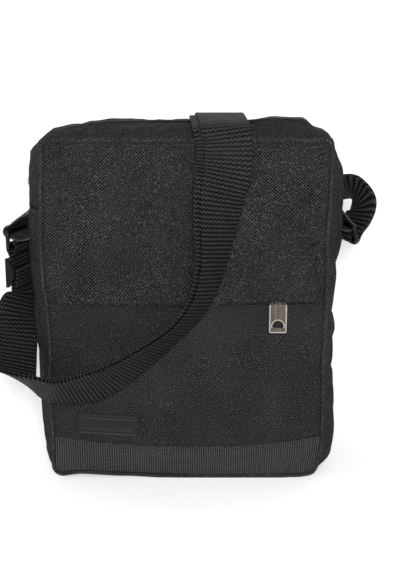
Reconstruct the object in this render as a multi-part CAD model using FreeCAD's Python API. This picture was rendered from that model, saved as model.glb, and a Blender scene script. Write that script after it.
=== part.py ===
"""Soft camera bag: upright padded body, two zips, side tabs with rings, doubled webbing shoulder strap."""
import FreeCAD, Part
import math
import os

V = FreeCAD.Vector

# Frame: +X to the wearer's right hand seen from the front, front of the bag towards -Y, +Z up.
# The origin is the middle of the flat base. All sizes are in millimetres.

# Body
bag_width = 222.0            # front panel, seam to seam
bag_depth = 72.0             # outer face of the front panel to outer face of the back panel
seam_top = 281.0             # height of the top seam
seam_bottom = 3.0            # height of the bottom seam
side_bulge = 14.0            # how far the gusset swells past the side seams at mid depth
top_crown = 13.0             # the same over the top seam
bottom_belly = 5.0           # the same under the bottom seam, before the base is flattened
top_corner = 10.0
bottom_corner = 20.0
fabric = 0.8
piping_radius = 1.5
piping_sink = 0.4            # the piping lies this far into the seam's corner
fit_gap = 0.2                # between pieces that lie against each other
sew_gap = 0.05               # between pieces sewn to each other
corner_swell = 0.8           # share of the top crown that rounds the top corners further
corner_sag = 0.4             # share of the side bulge that rounds the bottom corners further
base_board = 2.0
foam = 4.0
pocket_space = 5.4           # inside depth of the front pocket

# Zips, shared sizes of chain, slider and pull
coil_half = 1.0              # half thickness of the chain
coil_slot = 0.7              # half of the slot between the two coils
coil_edge = 2.7              # outer edge of each coil
tape_thick = 0.8
tape_edge = 14.0
slider_length = 13.0
slider_width = 10.5
slider_plate = 0.9
slider_gap = 0.4             # plate to chain
neck = 1.0
bridge_bar = 0.6             # radius of the bar that holds the pull
bridge_height = 4.3          # bar centre above the middle of the chain
bridge_reach = 3.6           # bar's middle to each leg's middle
leg = 1.4
knuckle_bore = 0.85
knuckle_wall = 0.7
pull_length = 25.5
pull_width = 14.0
pull_thick = 1.2
pull_rim = 1.5
pull_recess = 0.3
window_width = 9.0
window_foot = 4.2            # lower edge of the window above the pull's end
window_sill = 1.6            # straight part of the window under its round top
pull_corner = 1.2
knuckle_play = 0.3           # knuckle to bridge legs
stop_length = 2.0
stop_cover = 0.2             # the stops reach past the chain's faces
stop_gap = 0.1               # stop to first tooth
plate_corner = 2.2
lower_plate_step = 0.7       # the lower plate is this much narrower on each side
post_start, post_end = 2.6, 5.2
leg_half = 0.9

# Main zip, over the top from side to side
main_zip_low = 226.0         # both ends of the chain
main_zip_reveal = 8.0        # half width of the opening in the gusset
main_chain_depth = 1.7       # middle of the chain below the gusset's outer face
main_slider_height = 244.0

# Front pocket zip, under a flap
pocket_zip_height = 152.3
pocket_chain_half = 102.0
pocket_slider_x = 73.0
pocket_chain_depth = 3.4     # middle of the chain behind the front face
flap_edge = 153.0
flap_root = 168.0
flap_fall = 12.0             # height over which the flap comes forward
flap_turn = 0.4              # drop of the flap's inner face at its two bends
flap_clear = 0.4             # between the slider's knuckle and the flap
flap_side_gap = 1.0          # the flap stops short of the side seams
pocket_panel_top = 150.6
hem = 5.0
hem_overlap = 0.1
hem_clear = 3.5              # under the slider
seam_inset = 3.0             # inner layers stop this far inside the side seams

# Trim
hem_band_height = 25.0
hem_band_inset = 1.0
label_rim = 2.0
label_rim_rise = 0.4
label_width = 50.0
label_height = 19.0
label_x, label_z = -66.0, 47.0
label_tilt = 3.0

# Webbing hardware
webbing = 38.0
webbing_thick = 1.4
layer_gap = 0.4              # between the two runs of the strap
wire = 1.75                  # ring wire radius
ring_height = 12.0           # bar to bar
ring_play = 2.2              # webbing edge to ring
ring_corner = 2.5
tab_thick = 1.6
tab_play = 0.45
loop_play = 1.75             # room round the ring bar inside the strap's loop
loop_seat = 1.45             # the bar lies this far off the loop's middle, pulled against its end
tab_top = 222.0
tab_bottom = {"left": 202.0, "right": 205.0}
tab_standoff = 0.3
tab_top_slant = 1.6          # vertical share of the tab's thickness on its slanting upper run
tab_low_slant = 1.2          # the same on its lower run
bar_height = {"left": 206.0, "right": 207.0}
left_tab_room = 3.6          # gusset to the nearer end of the left ring's upper bar
left_ring_turn = 20.0        # the left ring hangs turned this far from the bag's side
right_tab_length = 4.8
right_tab_margin = 1.2       # the right tab ends this far from the back seam
right_ring_lean = 15.0       # the strap pulls the right ring outwards
glide_bar = 1.0
glide_half = 11.0            # middle bar to each outer bar
glide_height = 172.0
glide_play = 0.3
glide_side = 2.8
glide_side_play = 0.7
glide_bar_play = 0.25        # end loop round the middle bar
wing_foot = 3.0              # half length of each side plate at the middle bar
end_loop_start = 3.5         # the end loop's raw edge under the middle bar
strap_end_drop = 16.0        # the strap's sewn end lies this far under the adjuster's middle
loop_tail = 15.5             # the adjuster's end loop reaches this far under it
loop_blend = 10.0            # the two runs close up over this length beside a ring
tail_gap = 0.3               # a sewn tail to the run it lies on
ring_tail = 7.0              # the strap's other end, sewn back under the left ring

# Inside
divider_x = 12.0
divider_thick = 6.0
divider_height = 130.0
hook_tape = 1.0
hook_tape_side = 4.5         # the tape shows this far on each side of the divider
hook_tape_end = 2.0          # and stops this far from its two ends
lining = 0.8
top_room = 9.0               # padding stops this far under the top seam
board_lift = 1.6             # room for the seam allowance under the board
board_inset = 15.0
board_shift = 2.0            # the board lies this far forward of the lining's walls
side_foam_lift = 3.5
side_foam_drop = 4.0

# Strap route, middle of the doubled webbing between the two rings: place, and the direction of
# the webbing's left-hand edge. The rings' lower bars are its two ends.
strap_route = [
    (-135.8, 0, 170, -0.34, -0.94, 0),
    (-135.8, 0, 149, -0.34, -0.94, 0),
    (-137.4, -0.8, 141, -0.58, -0.81, 0),
    (-141, -4, 131, -0.77, -0.64, 0.05),
    (-142.8, -10, 118, -0.86, -0.48, 0.15),
    (-142.5, -21, 102, -0.86, -0.40, 0.33),
    (-139.5, -34, 91, -0.78, -0.38, 0.52),
    (-131, -45, 87.5, -0.60, -0.45, 0.66),
    (-118, -52, 85, -0.30, -0.60, 0.75),
    (-102, -56, 83, 0, -0.70, 0.72),
    (-80, -58, 87, -0.25, -0.62, 0.76),
    (-58, -59, 97, -0.36, -0.70, 0.62),
    (-33, -61, 115, -0.38, -0.82, 0.42),
    (-5, -62.5, 138, -0.30, -0.90, 0.33),
    (13, -62, 163, -0.38, -0.89, 0.27),
    (22, -59, 196, -0.55, -0.79, 0.22),
    (27, -54, 236, -0.84, -0.50, 0.20),
    (31.5, -47, 262, -0.97, -0.20, 0.10),
    (32, -42.5, 279, -1, -0.04, 0),
    (30, -35, 291, -1, 0, 0),
    (28, -18, 295.5, -1, 0, 0),
    (26, 4, 297, -1, 0, 0),
    (25, 28, 292.5, -1, 0, 0),
    (26, 42.5, 280, -1, 0, 0),
    (31, 44.5, 262, -0.98, 0, -0.2),
    (46, 45.5, 242, -0.85, 0.1, -0.5),
    (71, 46, 230, -0.45, 0.1, -0.88),
    (96, 47, 228, -0.12, 0.25, -0.95),
    (112, 51.3, 230, -0.10, 0.45, -0.88),
    (124, 47, 231.5, -0.20, 0.75, -0.62),
    (134, 40, 231.5, -0.35, 0.90, -0.25),
    (141, 32, 228, -0.42, 0.90, -0.10),
    (145, 24, 219, -0.45, 0.89, 0),
    (141, 19.6, 207, -0.36, 0.93, 0),
]

panel_face = bag_depth / 2
gusset_edge = panel_face - fabric
chain_y = -(panel_face - pocket_chain_depth)               # middle plane of the pocket zip's chain
knuckle = knuckle_bore + knuckle_wall
flap_inner = chain_y - bridge_height - knuckle - flap_clear


def box(x0, x1, y0, y1, z0, z1):
    return Part.makeBox(x1 - x0, y1 - y0, z1 - z0, V(x0, y0, z0))


def line(a, b):
    return Part.LineSegment(a, b).toShape()


def outline(y, inset=0.0):
    """Rounded outline of the body in the plane at depth y; inset moves it inwards."""
    swell = 1 - (y / gusset_edge) ** 2
    half = bag_width / 2 + side_bulge * swell - inset
    top = seam_top + top_crown * swell - inset
    low = seam_bottom - bottom_belly * swell + inset
    rt = top_corner + corner_swell * top_crown * swell - min(inset, top_corner - 1)
    rb = bottom_corner + corner_sag * side_bulge * swell - inset
    k = math.sqrt(0.5)

    def arc(cx, cz, r, sx, sz, first):
        ends = [V(cx + sx * r, y, cz), V(cx, y, cz + sz * r)]
        mid = V(cx + sx * r * k, y, cz + sz * r * k)
        a, b = ends if first else ends[::-1]
        return Part.Arc(a, mid, b).toShape()

    corners = [
        arc(half - rb, low + rb, rb, 1, -1, False),
        arc(half - rt, top - rt, rt, 1, 1, True),
        arc(-half + rt, top - rt, rt, -1, 1, False),
        arc(-half + rb, low + rb, rb, -1, -1, True),
    ]
    edges = []
    for i, corner in enumerate(corners):
        following = corners[(i + 1) % 4]
        edges.append(corner)
        edges.append(line(corner.Vertexes[-1].Point, following.Vertexes[0].Point))
    return Part.Wire(edges)


def body_solid(inset, reach):
    """The swelling body from -reach to reach in depth, moved inwards by inset."""
    depths = [-reach, -0.5 * gusset_edge, 0.0, 0.5 * gusset_edge, reach]
    return Part.makeLoft([outline(y, inset) for y in depths], True, False)


def skin(inset, thick):
    """A layer of the gusset, thick deep and inset under the outer face, with a flat base."""
    over = gusset_edge + 1.0
    outer = body_solid(inset, gusset_edge)
    inner = body_solid(inset + thick, over)
    wide = bag_width
    above = seam_top + 2 * top_crown
    outer = outer.common(box(-wide, wide, -over, over, inset, above))
    inner = inner.common(box(-wide, wide, -2 * over, 2 * over, inset + thick, above))
    return outer.cut(inner)


def panel_prism(inset, y0, y1):
    """Flat prism with the seam outline, moved inwards by inset, from y0 to y1."""
    face = Part.Face(outline(gusset_edge, inset))
    face.translate(V(0, y0 - gusset_edge, 0))
    return face.extrude(V(0, y1 - y0, 0))


def extrude_x(points, x0, x1):
    wire_shape = Part.makePolygon([V(x0, y, z) for y, z in points + points[:1]])
    return Part.Face(wire_shape).extrude(V(x1 - x0, 0, 0))


def placed(shape, u, v, w, origin):
    """Move a shape drawn in u, v, w axes at zero to the given axes and origin."""
    copy = shape.copy()
    copy.Placement = FreeCAD.Placement(origin, FreeCAD.Rotation(u, v, w, "XYZ"))
    return copy


def round_edges(shape, radius, axis):
    """Round the straight edges of a plate that run along one axis."""
    picked = []
    for edge in shape.Edges:
        run = edge.Vertexes[-1].Point - edge.Vertexes[0].Point
        if run.Length > 0 and abs(run.dot(axis)) > 0.999 * run.Length:
            picked.append(edge)
    return shape.makeFillet(radius, picked)


# Zip pieces, drawn with u along the chain, v towards the hanging pull and w outwards.

def zip_slider():
    half, wide = slider_length / 2, slider_width / 2
    face = coil_half + slider_gap
    top = box(-half, half, -wide, wide, face, face + slider_plate)
    low = box(-half, half, -wide + lower_plate_step, wide - lower_plate_step, -face - slider_plate, -face)
    top = round_edges(top, plate_corner, V(0, 0, 1))
    low = round_edges(low, plate_corner, V(0, 0, 1))
    post = box(post_start, post_end, -neck / 2, neck / 2, -face - 0.1, face + 0.1)
    body = top.fuse([low, post])
    for side in (-1, 1):
        middle = side * bridge_reach
        foot = box(middle - leg / 2, middle + leg / 2, -leg_half, leg_half,
                   face + slider_plate - 0.1, bridge_height + bridge_bar)
        body = body.fuse(foot)
    bar = Part.makeCylinder(bridge_bar, 2 * bridge_reach, V(-bridge_reach, 0, bridge_height), V(1, 0, 0))
    return body.fuse(bar).removeSplitter()


def zip_pull():
    span = bridge_reach - leg / 2 - knuckle_play
    rest = bridge_height
    eye = Part.makeCylinder(knuckle, 2 * span, V(-span, 0, rest), V(1, 0, 0))
    start = knuckle + 0.1
    plate = box(-pull_width / 2, pull_width / 2, start, pull_length,
                rest - pull_thick / 2, rest + pull_thick / 2)
    plate = round_edges(plate, pull_corner, V(0, 0, 1))
    web = box(-span, span, 0, start + 1.0, rest - pull_thick / 2, rest + pull_thick / 2)
    inside = pull_width / 2 - pull_rim
    recess = box(-inside, inside, start + pull_rim, pull_length - pull_rim,
                 rest + pull_thick / 2 - pull_recess, rest + pull_thick)
    radius = window_width / 2
    base = pull_length - window_foot
    deep = 2 * pull_thick
    spring = base - window_sill
    dome = Part.makeCylinder(radius, deep, V(0, spring, rest - deep / 2), V(0, 0, 1))
    dome = dome.common(box(-radius, radius, spring - radius, spring, rest - deep, rest + deep))
    sill = box(-radius, radius, spring - 0.1, base, rest - deep / 2, rest + deep / 2)
    pull = plate.fuse([web, eye]).cut(recess).cut(dome.fuse(sill))
    bore = Part.makeCylinder(knuckle_bore, 4 * span, V(-2 * span, 0, rest), V(1, 0, 0))
    return pull.cut(bore)


def zip_stop():
    reach_out = coil_half + stop_cover
    return box(0, stop_length, -coil_edge, coil_edge, -reach_out, reach_out)


# Webbing

def smooth(points, steps):
    """Points on a curve through the given ones, with steps spans between neighbours."""
    rows = [[2 * a - b for a, b in zip(points[0], points[1])]] + [list(p) for p in points]
    rows.append([2 * a - b for a, b in zip(points[-1], points[-2])])
    path = []
    for i in range(1, len(rows) - 2):
        p0, p1, p2, p3 = rows[i - 1:i + 3]
        for k in range(steps):
            t = k / steps
            path.append([0.5 * (2 * b + (c - a) * t + (2 * a - 5 * b + 4 * c - d) * t ** 2
                                + (3 * b - a - 3 * c + d) * t ** 3)
                         for a, b, c, d in zip(p0, p1, p2, p3)])
    path.append(rows[-2])
    return path


def unit(vector):
    return vector * (1.0 / vector.Length)


def ribbon_frames(route, steps):
    """Centre, direction of travel, edge direction and face normal along a ribbon's route."""
    path = smooth(route, steps)
    centres = [V(*p[:3]) for p in path]
    frames = []
    for i, centre in enumerate(centres):
        ahead = unit(centres[min(i + 1, len(centres) - 1)] - centres[max(i - 1, 0)])
        across = V(*path[i][3:])
        across = unit(across - ahead * across.dot(ahead))
        frames.append((centre, ahead, across, ahead.cross(across)))
    return frames


def ribbon(stations, width, thick):
    """Solid band through (centre, edge direction, face normal) stations."""
    wires = []
    for centre, across, normal in stations:
        a, n = across * (width / 2), normal * (thick / 2)
        wires.append(Part.makePolygon([centre + a + n, centre - a + n, centre - a - n, centre + a - n,
                                       centre + a + n]))
    return Part.makeLoft(wires, True, True)


def turn(centre, ahead, across, normal, radius, first, last, steps):
    """Stations round a bar: angles run from the normal towards the direction ahead."""
    stations = []
    for k in range(steps + 1):
        angle = math.radians(first + (last - first) * k / steps)
        out = normal * math.cos(angle) + ahead * math.sin(angle)
        stations.append((centre + out * radius, across, out))
    return stations


def ring(bar, down, across):
    """Rectangular wire ring with its upper bar at bar; down points to the lower bar."""
    half = webbing / 2 + ring_play + wire
    r, k = ring_corner, math.sqrt(0.5)

    def point(a, d):
        return bar + across * a + down * d

    corners = [(half, 0, -1, 1), (half, ring_height, -1, -1),
               (-half, ring_height, 1, -1), (-half, 0, 1, 1)]
    start = point(0, 0)
    edges = []
    reached = start
    for i, (a, d, sa, sd) in enumerate(corners):
        mid = point(a + sa * r * (1 - k), d + sd * r * (1 - k))
        ends = [point(a + sa * r, d), point(a, d + sd * r)]
        first, last = ends if i % 2 == 0 else ends[::-1]
        edges += [line(reached, first), Part.Arc(first, mid, last).toShape()]
        reached = last
    path = Part.Wire(edges + [line(reached, start)])
    section = Part.Wire(Part.Circle(start, across, wire).toShape())
    return path.makePipeShell([section], True, True)


def side_tab(side, bar_front, bar_back, root_front, root_back, y_front, y_back, bar_z):
    """Webbing loop from the gusset round the ring's upper bar, side is -1 left or 1 right."""

    def profile(root, bar_x, y, wall):
        radius = wire + tab_play + tab_thick - wall
        name = "left" if side < 0 else "right"
        top, low = tab_top - tab_top_slant * wall, tab_bottom[name] + tab_low_slant * wall
        base = root + side * wall
        tip = [V(bar_x, y, bar_z + radius), V(bar_x + side * radius, y, bar_z), V(bar_x, y, bar_z - radius)]
        return Part.Wire([
            line(V(base, y, top), tip[0]),
            Part.Arc(*tip).toShape(),
            line(tip[2], V(base, y, low)),
            line(V(base, y, low), V(base, y, top)),
        ])

    slope = 1.0 / (y_back - y_front)

    def at(a, b, y):
        return a + (b - a) * (y - y_front) * slope

    solids = []
    for wall, over in ((0.0, 0.0), (tab_thick, 1.0)):
        wires = []
        for y in (y_front - over, y_back + over):
            wires.append(profile(at(root_front, root_back, y), at(bar_front, bar_back, y), y, wall))
        solids.append(Part.makeLoft(wires, True, True))
    return solids[0].cut(solids[1])


parts = {}
reach = gusset_edge + 1.0
far = bag_width
high = seam_top + 2 * top_crown

# Gusset, in three pieces round the zip
gusset = skin(0.0, fabric)
parts["lower_gusset"] = gusset.common(box(-far, far, -reach, reach, 0, main_zip_low - fit_gap))
parts["zip_gusset_front"] = gusset.common(box(-far, far, -reach, -main_zip_reveal, main_zip_low, high))
parts["zip_gusset_back"] = gusset.common(box(-far, far, main_zip_reveal, reach, main_zip_low, high))

# Main zip: tapes and coils follow the gusset under its outer face
chain_low = main_zip_low + stop_length + stop_gap
tape_layer = skin(main_chain_depth - tape_thick / 2, tape_thick)
coil_layer = skin(main_chain_depth - coil_half, 2 * coil_half)


def both_sides(layer, inner, outer, low):
    front = layer.common(box(-far, far, -outer, -inner, low, high))
    back = layer.common(box(-far, far, inner, outer, low, high))
    return Part.makeCompound([front, back])


parts["main_zip_tapes"] = both_sides(tape_layer, coil_edge + sew_gap, tape_edge, main_zip_low)
parts["main_zip_coils"] = both_sides(coil_layer, coil_slot, coil_edge, chain_low)
side_x = bag_width / 2 + side_bulge - main_chain_depth
left_axes = (V(0, 0, 1), V(0, 1, 0), V(-1, 0, 0))
right_axes = (V(0, 0, 1), V(0, -1, 0), V(1, 0, 0))
parts["main_zip_stops"] = Part.makeCompound([
    placed(zip_stop(), *left_axes, V(-side_x, 0, main_zip_low)),
    placed(zip_stop(), *right_axes, V(side_x, 0, main_zip_low)),
])
main_slider_place = V(-side_x, 0, main_slider_height)
parts["main_zip_slider"] = placed(zip_slider(), *left_axes, main_slider_place)
parts["main_zip_pull"] = placed(zip_pull(), *left_axes, main_slider_place)

# Panels
flap_outer = flap_inner - fabric
tape_face = chain_y - tape_thick / 2
front_profile = [
    (-panel_face, high), (-panel_face, flap_root), (flap_outer, flap_root - flap_fall),
    (flap_outer, flap_edge), (flap_inner, flap_edge), (flap_inner, flap_root - flap_fall - flap_turn),
    (-gusset_edge, flap_root - flap_turn),
    (-gusset_edge, high),
]
front_room = panel_prism(0, -panel_face, 0).fuse(panel_prism(flap_side_gap, -2 * panel_face, -panel_face))
front = extrude_x(front_profile, -far, far).common(front_room)
hem_front, hem_back = -gusset_edge - hem_overlap, tape_face - hem_overlap
upper_hem = box(-pocket_chain_half, pocket_chain_half, hem_front, hem_back,
                flap_root - flap_turn, flap_root + hem)
parts["front_panel"] = front.fuse(upper_hem).removeSplitter()
pocket = panel_prism(0, -panel_face, -gusset_edge).common(
    box(-far, far, -panel_face - 1, 0, 0, pocket_panel_top))
lower_hem_top = pocket_zip_height - slider_width / 2 - hem_clear
lower_hem = box(-pocket_chain_half, pocket_chain_half, hem_front, hem_back,
                lower_hem_top - hem, lower_hem_top)
parts["pocket_panel"] = pocket.fuse(lower_hem).removeSplitter()
parts["back_panel"] = panel_prism(0, gusset_edge, panel_face)
pocket_back = -gusset_edge + pocket_space
parts["pocket_lining"] = panel_prism(seam_inset, pocket_back, pocket_back + fabric)

# Piping on both seams
def piping(side):
    out = piping_radius - piping_sink
    path = outline(side * gusset_edge, -out)
    path.translate(V(0, side * (fabric + out), 0))
    corner, straight = path.Edges[0], path.Edges[1]
    start = straight.Vertexes[0].Point
    section = Part.Wire(Part.Circle(start, straight.Vertexes[1].Point - start, piping_radius).toShape())
    return Part.Wire(path.Edges[1:] + [corner]).makePipeShell([section], True, True)


parts["front_piping"] = piping(-1)
parts["back_piping"] = piping(1)

# Front pocket zip
run = pocket_chain_half - stop_length - stop_gap
coils = []
tapes = []
for side in (-1, 1):
    z0, z1 = sorted((side * coil_slot, side * coil_edge))
    coils.append(box(-run, run, chain_y - coil_half, chain_y + coil_half,
                     pocket_zip_height + z0, pocket_zip_height + z1))
    tape_reach = tape_edge + (hem if side > 0 else 0)
    z0, z1 = sorted((side * (coil_edge + sew_gap), side * tape_reach))
    tapes.append(box(-pocket_chain_half, pocket_chain_half, tape_face, tape_face + tape_thick,
                     pocket_zip_height + z0, pocket_zip_height + z1))
parts["pocket_zip_coils"] = Part.makeCompound(coils)
parts["pocket_zip_tapes"] = Part.makeCompound(tapes)
front_axes = (V(-1, 0, 0), V(0, 0, -1), V(0, -1, 0))
parts["pocket_zip_stops"] = Part.makeCompound([
    placed(zip_stop(), *front_axes, V(x, chain_y, pocket_zip_height))
    for x in (pocket_chain_half, -pocket_chain_half + stop_length)
])
pocket_slider_place = V(pocket_slider_x, chain_y, pocket_zip_height)
parts["pocket_zip_slider"] = placed(zip_slider(), *front_axes, pocket_slider_place)
parts["pocket_zip_pull"] = placed(zip_pull(), *front_axes, pocket_slider_place)

# Hem band and label, sewn on the pocket panel
trim_back = -panel_face - sew_gap
band = panel_prism(hem_band_inset, trim_back - fabric, trim_back)
parts["hem_band"] = band.common(box(-far, far, -far, 0, 0, seam_bottom + hem_band_height))
plate = box(-label_width / 2, label_width / 2, trim_back - fabric, trim_back, -label_height / 2, label_height / 2)
inner_half, inner_rise = label_width / 2 - label_rim, label_height / 2 - label_rim
rim = plate.cut(box(-inner_half, inner_half, -far, far, -inner_rise, inner_rise))
rim.translate(V(0, -label_rim_rise, 0))
label = plate.fuse(rim).removeSplitter()
label.rotate(V(0, 0, 0), V(0, 1, 0), label_tilt)
label.translate(V(label_x, 0, label_z))
parts["label_patch"] = label

# Padding and lining
foam_front_y = pocket_back + fabric + fit_gap
foam_back_y = gusset_edge - fit_gap
inner_top = seam_top - top_room
below_top = box(-far, far, -reach, reach, 0, inner_top)
parts["foam_front"] = panel_prism(seam_inset, foam_front_y, foam_front_y + foam).common(below_top)
parts["foam_back"] = panel_prism(seam_inset, foam_back_y - foam, foam_back_y).common(below_top)
wall_front = foam_front_y + foam + fit_gap
wall_back = foam_back_y - foam - fit_gap
inner_front = wall_front + lining
inner_back = wall_back - lining
board_top = fabric + board_lift + base_board
board_half = bag_width / 2 - board_inset
foam_floor = board_top + fit_gap
floor = foam_floor + foam + fit_gap
side_outer = bag_width / 2 - seam_inset
side_inner = side_outer - foam
parts["base_board"] = box(-board_half, board_half, wall_front - board_shift, wall_back - board_shift,
                          board_top - base_board, board_top)
parts["foam_bottom"] = box(-board_half, board_half, inner_front + fit_gap, inner_back - fit_gap,
                           foam_floor, foam_floor + foam)
side_low = floor + side_foam_lift
side_high = main_zip_low - side_foam_drop
for name, sign in (("foam_left", -1), ("foam_right", 1)):
    x0, x1 = sorted((sign * side_inner, sign * side_outer))
    parts[name] = box(x0, x1, inner_front + fit_gap, inner_back - fit_gap, side_low, side_high)
wall_half = side_inner - fit_gap
walls = [
    box(-wall_half, wall_half, wall_front, inner_front, floor, inner_top),
    box(-wall_half, wall_half, inner_back, wall_back, floor, inner_top),
    box(-board_half, board_half, inner_front + fit_gap, inner_back - fit_gap, floor, floor + lining),
]
for sign in (-1, 1):
    x0, x1 = sorted((sign * wall_half, sign * (wall_half - lining)))
    walls.append(box(x0, x1, inner_front + fit_gap, inner_back - fit_gap, side_low, side_high))
parts["lining_walls"] = Part.makeCompound(walls)
cell_floor = floor + lining + fit_gap
cell_front = inner_front + fit_gap
cell_back = inner_back - fit_gap
tape_x0, tape_x1 = divider_x - hook_tape_side, divider_x + divider_thick + hook_tape_side
tape_z0, tape_z1 = cell_floor + hook_tape_end, divider_height - hook_tape_end
parts["divider_hook_tapes"] = Part.makeCompound([
    box(tape_x0, tape_x1, cell_front, cell_front + hook_tape, tape_z0, tape_z1),
    box(tape_x0, tape_x1, cell_back - hook_tape, cell_back, tape_z0, tape_z1),
])
parts["padded_divider"] = box(divider_x, divider_x + divider_thick, cell_front + hook_tape + fit_gap,
                              cell_back - hook_tape - fit_gap, cell_floor, divider_height)

# Rings and tabs. The right tab lies along the rear half of the gusset.
half_run = webbing / 2
turn_steps = 10
down = V(0, 0, -1)
left_angle = math.radians(left_ring_turn)
left_across = V(-math.sin(left_angle), -math.cos(left_angle), 0)
left_root = -(bag_width / 2 + side_bulge + tab_standoff)
lean = half_run * math.tan(left_angle)
left_bar = V(left_root - left_tab_room - lean, 0, bar_height["left"])
left_low = left_bar + down * ring_height
parts["side_tab_left"] = side_tab(-1, left_bar.x - lean, left_bar.x + lean, left_root, left_root,
                                  -half_run, half_run, left_bar.z)
parts["ring_left"] = ring(left_bar, down, left_across)

right_tab_depth = gusset_edge - right_tab_margin - half_run
right_slope = -2 * side_bulge * right_tab_depth / gusset_edge ** 2
right_root = bag_width / 2 + side_bulge * (1 - (right_tab_depth / gusset_edge) ** 2) + tab_standoff
right_bar = V(right_root + right_tab_length, right_tab_depth, bar_height["right"])
right_across = unit(V(right_slope, 1, 0))
lean = half_run * right_slope
parts["side_tab_right"] = side_tab(1, right_bar.x - lean, right_bar.x + lean, right_root - lean,
                                   right_root + lean, right_tab_depth - half_run,
                                   right_tab_depth + half_run, right_bar.z)
outwards = V(right_across.y, -right_across.x, 0)
right_angle = math.radians(right_ring_lean)
right_down = outwards * math.sin(right_angle) + down * math.cos(right_angle)
right_low = right_bar + right_down * ring_height
parts["ring_right"] = ring(right_bar, right_down, right_across)

# Strap, with an end loop sewn round the left ring and a turn round the right one
left_loop = left_low + down * loop_seat
right_loop = right_low + unit(V(*strap_route[-1][:3]) - right_low) * loop_seat
left_end = (*left_loop, left_across.x, left_across.y, 0)
right_end = (*right_loop, right_across.x, right_across.y, 0)
frames = ribbon_frames([left_end] + strap_route + [right_end], 5)
lay = webbing_thick / 2 + layer_gap / 2
loop = wire + loop_play + webbing_thick / 2


def layer_offset(travel, total):
    """Distance of each run from the middle of the strap, wider beside the rings."""
    near = min(travel, total - travel)
    blend = max(0.0, 1 - near / loop_blend)
    return lay + (loop - lay) * blend * blend * (3 - 2 * blend)


travel = [0.0]
for before, after in zip(frames, frames[1:]):
    travel.append(travel[-1] + (after[0] - before[0]).Length)
start, end = frames[0], frames[-1]
strap_end = glide_height - strap_end_drop


def run_of_strap(side, stop_height=None):
    stations = []
    for (centre, ahead, across, normal), gone in zip(frames, travel):
        if stop_height is not None and gone < frames[0][0].z - stop_height:
            continue
        offset = layer_offset(gone, travel[-1]) * side
        stations.append((centre + normal * offset, across, normal * side))
    return stations


first_turn = turn(start[0], start[1] * -1, start[2], start[3], loop, 180, 0, turn_steps)
tail = [(start[0] + start[1] * ring_tail - start[3] * (lay + tail_gap), start[2], start[3] * -1)]
last_turn = turn(end[0], end[1], end[2], end[3], loop, 0, 180, turn_steps)
outward = run_of_strap(1)[1:]
inward = run_of_strap(-1, strap_end)[:-1][::-1]
strap = ribbon(tail + first_turn + outward[:-1] + last_turn + inward, webbing, webbing_thick)
parts["shoulder_strap"] = strap

# Tri-bar adjuster on the straight run under the left ring
glide_origin = V(start[0].x, start[0].y, glide_height)
run_face = lay + webbing_thick / 2
outer_bar = run_face + glide_play + glide_bar
end_inner = glide_bar + glide_bar_play
end_outer = end_inner + webbing_thick
middle_bar = lay - webbing_thick / 2 - glide_bar_play - end_outer
side_reach = webbing / 2 + glide_side_play
glide_pieces = []
for up, out in ((glide_half, outer_bar), (0, middle_bar), (-glide_half, outer_bar)):
    length = 2 * (side_reach + glide_side / 2)
    glide_pieces.append(Part.makeCylinder(glide_bar, length, V(-length / 2, out, up), V(1, 0, 0)))
for sign in (-1, 1):
    x0, x1 = sorted((sign * side_reach, sign * (side_reach + glide_side)))
    wing = [(middle_bar - glide_bar, -wing_foot), (outer_bar - glide_bar, -glide_half - glide_bar),
            (outer_bar + glide_bar, -glide_half - glide_bar), (outer_bar + glide_bar, glide_half + glide_bar),
            (outer_bar - glide_bar, glide_half + glide_bar), (middle_bar - glide_bar, wing_foot)]
    glide_pieces.append(extrude_x(wing, x0, x1))
glide = glide_pieces[0].fuse(glide_pieces[1:]).removeSplitter()
glide_axes = (start[2], start[3], start[1])
parts["strap_adjuster"] = placed(glide, *glide_axes, glide_origin)
origin_bar = V(0, middle_bar, 0)
loop_radius = (end_inner + end_outer) / 2
glide_up = V(0, 0, -1)
end_stations = [(V(0, middle_bar + loop_radius, end_loop_start), V(1, 0, 0), V(0, 1, 0))]
end_stations += turn(origin_bar, glide_up, V(1, 0, 0), V(0, 1, 0), loop_radius, 0, 180, turn_steps)
tail_y = -lay - webbing_thick - tail_gap
end_stations += [(V(0, (tail_y - loop_radius + middle_bar) / 2, loop_tail / 3), V(1, 0, 0), V(0, -1, 0)),
                 (V(0, tail_y, loop_tail * 2 / 3), V(1, 0, 0), V(0, -1, 0)),
                 (V(0, tail_y, loop_tail), V(1, 0, 0), V(0, -1, 0))]
parts["strap_end_loop"] = placed(ribbon(end_stations, webbing, webbing_thick), *glide_axes, glide_origin)

os.makedirs("parts", exist_ok=True)
for name, shape in parts.items():
    shape.exportStep(f"parts/{name}.step")
    solids = shape.Solids
    bounds = shape.BoundBox
    print(f"{name:22s} solids {len(solids)} valid {shape.isValid()} volume {shape.Volume:10.1f}  "
          f"x {bounds.XMin:.1f}..{bounds.XMax:.1f} y {bounds.YMin:.1f}..{bounds.YMax:.1f} "
          f"z {bounds.ZMin:.1f}..{bounds.ZMax:.1f}")
print("strap route length", round(travel[-1], 1))
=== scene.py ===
import math

import bmesh
import bpy
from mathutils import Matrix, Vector, noise


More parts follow.
